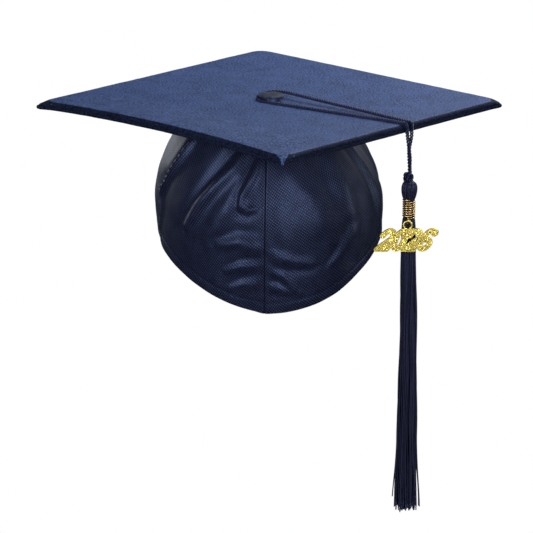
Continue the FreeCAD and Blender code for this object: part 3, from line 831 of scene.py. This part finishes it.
def make_binding(name, middle, above_rim, node):
    """Tape over the seam's raw edges, inside the cap."""
    rows, columns, half = 60, 9, 5.0 / DEGREE_ARC
    points, uv = [], []
    for row in range(rows):
        for column in range(columns):
            degrees = middle + half * (2 * column / (columns - 1) - 1)
            wrapped = math.radians(degrees - 360 if degrees > 180 else degrees)
            low = rim_at(wrapped) + above_rim * MM
            z = low + (78 * MM - low) * (1 - row / (rows - 1))
            middle_rise = 0.5 * MM * (1 - abs(2 * column / (columns - 1) - 1))
            points.append(cap_point(wrapped, z, 1.25 * MM - min(0.2 * MM, middle_rise)))
            uv.append((degrees * DEGREE_ARC * MM, z))
    tape = mesh_object(name, points, grid_faces(rows, columns), MATERIALS["lining"], uv)
    add_modifier(tape, "SOLIDIFY", thickness=0.6 * MM, offset=-1)
    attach(tape, "cap")
    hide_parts(node)


def make_skullcap():
    make_panel("skullcap_panel_left", -1, "skullcap_left")
    make_panel("skullcap_panel_right", 1, "skullcap_right")
    make_hem("hem_turned_left", -1, "hem_left")
    make_hem("hem_turned_right", 1, "hem_right")
    make_casing()
    make_stitches("hem_stitches_front", -104.0, 104.0, 7.6)
    make_stitches("casing_stitches_right", 105.0, 178.5, 15.0)
    make_stitches("casing_stitches_left", -178.5, -105.0, 15.0)
    make_binding("front_seam_tape", 0.0, 8.0, "front_seam_binding")
    make_binding("back_seam_tape", 180.0, 16.0, "back_seam_binding")


# --- button ------------------------------------------------

# Radius and height over the board of the button's cloth, from the middle of the dome to its underside.
BUTTON_PROFILE = [
    (0.6, 5.32), (2.5, 5.29), (4.9, 5.19), (6.8, 4.99), (8.0, 4.81), (8.9, 4.62), (9.4, 4.44), (9.68, 4.15),
    (9.78, 3.8), (9.72, 3.5), (9.5, 3.2), (9.2, 3.0), (8.8, 2.9), (7.6, 2.88), (6.4, 2.9),
]


def make_button():
    """Cloth drawn over the button's shell, pulled into small pleats at its rim."""
    sides = 144
    points = []
    for row, (radius, height) in enumerate(BUTTON_PROFILE):
        pull = smooth_step((row - 4) / 6)
        for k in range(sides):
            angle = math.tau * k / sides
            wave = math.sin(26 * angle + 1.4 * math.sin(3 * angle)) * 0.1 * pull
            dent = 0.05 * bump_noise((math.cos(angle) * radius, math.sin(angle) * radius, 0), 3.0)
            reach = (radius + wave) * MM
            z = BOARD_TOP + (height + dent) * MM
            points.append(Vector((reach * math.cos(angle), reach * math.sin(angle), z)))
    faces = grid_faces(len(BUTTON_PROFILE), sides, closed=True)
    faces.append(tuple(range(sides)))
    cloth = mesh_object("button_cloth", points, faces, MATERIALS["button_painted_shade_satin"])
    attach(cloth, "cap")
    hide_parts("button_cover")
    for name in ("button_shell", "button_prong", "prong_washer"):
        dress(name, "steel")
    dress("button_back", "lacquer")
    dress("prong_pad", "lining")
    dress("crown_interfacing", "interfacing")
    dress("crown_adhesive", "adhesive")


# --- cord --------------------------------------------------

STRANDS = 2
STRAND_RADIUS = 0.66 * MM
STRAND_OFFSET = 0.86 * MM       # from the cord's middle
STRAND_PITCH = 4.6 * MM         # one turn of the twist
# The cord's route, one point each as (out from the button towards the tassel's edge, along that edge,
# height over the board), from the knot up over the edge, round the button and back.
CORD_ROUTE = [
    (123.0, 15.1, -37.0), (122.5, 14.8, -31.0), (122.2, 14.4, -25.0), (122.0, 14.3, -20.0),
    (122.3, 14.6, -16.0), (123.0, 14.9, -12.0), (123.6, 15.3, -8.0), (122.7, 16.3, -3.8),
    (122.6, 16.7, 1.5), (117.4, 16.5, 1.4), (106.5, 16.3, 1.7), (84.0, 15.6, 2.3),
    (42.0, 14.1, 3.5), (17.0, 13.2, 4.3), (5.0, 13.1, 4.7), (-4.0, 12.2, 4.4),
    (-9.6, 7.4, 3.3), (-11.3, 0.6, 1.7), (-8.4, -6.2, 1.4), (-2.0, -9.8, 1.4),
    (6.5, -9.6, 1.4), (22.0, -6.6, 1.35), (46.0, -2.0, 1.35), (84.0, 4.6, 1.35),
    (106.5, 8.4, 1.4), (117.4, 9.9, 1.4), (122.6, 10.4, 1.5), (122.7, 11.0, -3.8),
    (122.4, 11.9, -8.0), (123.0, 12.1, -12.0), (123.7, 12.2, -16.0), (124.0, 12.5, -20.0),
    (124.4, 13.0, -25.0), (124.3, 12.8, -31.0), (124.0, 12.7, -37.0),
]


def from_edge_frame(out, along, height):
    x = (out + along) / math.sqrt(2) * MM
    y = (along - out) / math.sqrt(2) * MM
    return Vector((x, y, BOARD_TOP + height * MM))


def cord_path():
    """The points of the cord's centreline, read from one spline through the route."""
    curve = bpy.data.curves.new("cord_centreline", "CURVE")
    curve.dimensions = "3D"
    curve.resolution_u = 12
    spline = curve.splines.new("NURBS")
    spline.points.add(len(CORD_ROUTE) - 1)
    for target, place in zip(spline.points, CORD_ROUTE):
        target.co = (*from_edge_frame(*place), 1)
    spline.order_u = 3
    spline.use_endpoint_u = True
    holder = bpy.data.objects.new("cord_centreline", curve)
    bpy.context.scene.collection.objects.link(holder)
    line = bpy.data.meshes.new_from_object(holder)
    path = [vertex.co.copy() for vertex in line.vertices]
    bpy.data.objects.remove(holder)
    return path


def make_cord():
    """The whole twisted cord, bending between the board's cord and the hanging one."""
    path = even_steps(cord_path(), 0.5 * MM)
    points, faces = [], []
    for strand in twisted_strands(path):
        add_tube(points, faces, strand, STRAND_RADIUS, 8)
    cord = mesh_object("cord", points, faces, MATERIALS["cord"])
    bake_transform(cord)
    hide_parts("cord_loop", "cord_drop_back", "cord_drop_front")


def make_knot():
    """Overhand knot tied with both cords, just above the tassel."""
    middle = (KNOT_LOW + KNOT_HIGH) / 2 + Vector((-1.0 * MM, 0, 1.2 * MM))
    wide, narrow, stretch = 1.75 * MM, 0.95 * MM, 2.5
    path = []
    for k in range(180):
        t = math.tau * k / 180
        reach = wide + narrow * math.cos(3 * t)
        height = -narrow * stretch * math.sin(3 * t)
        path.append(middle + Vector((reach * math.cos(2 * t), reach * math.sin(2 * t), height)))
    points, faces = [], []
    for strand in twisted_strands(path, closed=True):
        add_tube(points, faces, strand, STRAND_RADIUS, 8, closed=True)
    knot = mesh_object("cord_knot", points, faces, MATERIALS["cord"])
    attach(knot, "tassel")
    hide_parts("tassel_knot")


# --- tassel ------------------------------------------------

THREAD_RADIUS = 0.42 * MM


def on_axis(radius, angle, z):
    """A point beside the tassel's axis."""
    return TASSEL_AXIS + Vector((radius * math.cos(angle), radius * math.sin(angle), z))


# Height and radius of the outermost threads of the head, in mm, from the knot to the neck.
HEAD_PROFILE = [
    (50.2, 1.4), (49.6, 3.2), (48.4, 4.6), (46.4, 5.3), (43.9, 5.5), (41.6, 5.3), (39.6, 4.9), (38.0, 4.4),
    (36.2, 3.5),
]
HEAD_PADDING = 1.4             # how far the head's solid middle lies inside its outermost threads


def make_tails():
    """Both cords go on from the knot into the tassel's head."""
    points, faces = [], []
    for side in (-1, 1):
        top = TASSEL_AXIS + Vector((side * 1.5 * MM, side * 0.6 * MM, KNOT_LOW.z + 1.5 * MM))
        foot = TASSEL_AXIS + Vector((side * 1.6 * MM, 0, HEAD_TOP - 3 * MM))
        for strand in twisted_strands(even_steps([top, (top + foot) / 2, foot], 0.5 * MM)):
            add_tube(points, faces, strand, STRAND_RADIUS, 8)
    tails = mesh_object("cord_tails_twisted", points, faces, MATERIALS["cord"])
    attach(tails, "tassel")
    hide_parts("cord_tails")


def make_head():
    """Threads folded over the anchor knot and drawn in at the neck."""
    chance = random.Random(11)
    paths = []
    for layer, count in ((0.0, 34), (0.55, 26), (1.2, 18)):
        for k in range(count):
            turn = math.tau * (k + chance.uniform(-0.25, 0.25)) / count
            lean = chance.uniform(0.1, 0.35)
            lift = chance.uniform(-0.25, 0.25)
            path = []
            for index, (z, radius) in enumerate(HEAD_PROFILE):
                share = index / (len(HEAD_PROFILE) - 1)
                reach = max(0.5, radius - layer + lift * math.sin(math.pi * share))
                path.append(on_axis(reach * MM, turn + lean * share, z * MM))
            paths.append(even_steps(path, 0.6 * MM))
    points, faces = [], []
    for path in paths:
        add_tube(points, faces, path, THREAD_RADIUS, 6)
    middle = [TASSEL_AXIS + Vector((0, 0, z * MM)) for z, _ in HEAD_PROFILE]
    add_tube(points, faces, middle, [max(0.4, radius - HEAD_PADDING) * MM for _, radius in HEAD_PROFILE], 24)
    head = mesh_object("tassel_head_threads", points, faces, MATERIALS["tassel_thread"])
    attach(head, "tassel")
    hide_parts("tassel_head", "anchor_knot")


def make_neck():
    """Binding thread wound round the neck, under the coil."""
    turns, low, high = 17, SKIRT_TOP - 0.3 * MM, NECK_TOP
    path = []
    for k in range(turns * 24 + 1):
        share = k / (turns * 24)
        path.append(on_axis(3.35 * MM, math.tau * turns * share, high - (high - low) * share))
    neck = tubes_object("neck_wrapping", [path], 0.44 * MM, 6, MATERIALS["tassel_thread"])
    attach(neck, "tassel")
    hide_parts("neck_binding")


# Height and radius of the skirt's outermost threads, in mm.
SKIRT_PROFILE = [
    (25.9, 3.3), (22.6, 4.5), (19.0, 5.2), (-5.0, 5.8), (-60.0, 6.5), (-130.0, 7.8), (-201.0, 9.1),
]
SKIRT_SWAY = 1.4 * MM          # the thread ends hang this far to the right


def skirt_radius(z):
    for (high, wide), (low, narrow) in zip(SKIRT_PROFILE, SKIRT_PROFILE[1:]):
        if z >= low:
            share = (high - z) / (high - low)
            return wide + (narrow - wide) * max(0.0, share)
    return SKIRT_PROFILE[-1][1]


def make_skirt():
    """Loose threads spread evenly over the skirt's section, the last few straying out at their ends."""
    chance = random.Random(5)
    paths = []
    strays, count, steps = 7, 190, 46
    for k in range(count):
        depth = math.sqrt((k + 0.5) / count)
        turn = k * math.pi * (3 - math.sqrt(5))
        bottom = SKIRT_BOTTOM / MM + chance.uniform(0.0, 5.0) + (chance.uniform(4, 14) if k % 17 == 0 else 0)
        stray = 1.0 if k >= count - strays else 0.0
        wander = chance.uniform(-0.16, 0.16)
        phase, swing = chance.uniform(0, math.tau), chance.uniform(0.12, 0.42)
        path = []
        for step in range(steps + 1):
            share = step / steps
            z = SKIRT_PROFILE[0][0] + (bottom - SKIRT_PROFILE[0][0]) * share
            radius = skirt_radius(z) * (depth * 0.93 + stray * 0.25 * smooth_step((share - 0.75) * 4))
            point = on_axis(radius * MM, turn + wander * share * 3, z * MM)
            point.x += SKIRT_SWAY * smooth_step(share * 2)
            loose = smooth_step(share * 3) * swing * MM
            point += Vector((math.sin(phase + share * 17), math.cos(phase * 1.7 + share * 13), 0)) * loose
            path.append(point)
        paths.append(path)
    skirt = tubes_object("tassel_skirt_threads", paths, THREAD_RADIUS, 6, MATERIALS["tassel_thread"])
    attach(skirt, "tassel")
    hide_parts("tassel_skirt")


# --- coil and charm ----------------------------------------

def make_glitter():
    """Flakes scattered over the filled faces of the charm, lying at slightly different tilts."""
    chance = random.Random(23)
    mesh = NODES["charm_glitter"].data
    mesh.calc_loop_triangles()
    flat = [triangle for triangle in mesh.loop_triangles if abs(triangle.normal.y) > 0.9]
    areas = [triangle.area for triangle in flat]
    points, faces = [], []
    for triangle in chance.choices(flat, areas, k=3600):
        corners = [mesh.vertices[index].co for index in triangle.vertices]
        a, b = chance.random(), chance.random()
        if a + b > 1:
            a, b = 1 - a, 1 - b
        outward = triangle.normal.copy()
        place = corners[0] + (corners[1] - corners[0]) * a + (corners[2] - corners[0]) * b
        tilt = Vector((chance.uniform(-0.35, 0.35), 0, chance.uniform(-0.35, 0.35)))
        normal = (outward + tilt).normalized()
        side = normal.orthogonal().normalized()
        up = normal.cross(side)
        size = chance.uniform(0.16, 0.27) * MM
        spin = chance.uniform(0, math.tau)
        first = len(points)
        centre = place + outward * 0.07 * MM
        for k in range(6):
            angle = spin + math.tau * k / 6
            points.append(centre + side * (size * math.cos(angle)) + up * (size * math.sin(angle)))
        faces.append(tuple(range(first, first + 6)))
    flakes = mesh_object("charm_glitter_flakes", points, faces, glitter_flakes())
    flakes.data.polygons.foreach_set("use_smooth", [False] * len(faces))
    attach(flakes, "charm")


def make_tassel():
    """The tassel's threads, its gold coil and its charm."""
    make_tails()
    make_head()
    make_neck()
    make_skirt()
    dress("neck_coil", "gold_wire")
    dress("coil_hook", "gold_wire")
    dress("charm_digits", "gold")
    dress("charm_glitter", "glitter")
    make_glitter()


make_camera()
make_studio()
make_knot()
make_cord()
make_board()
make_skullcap()
make_button()
make_tassel()
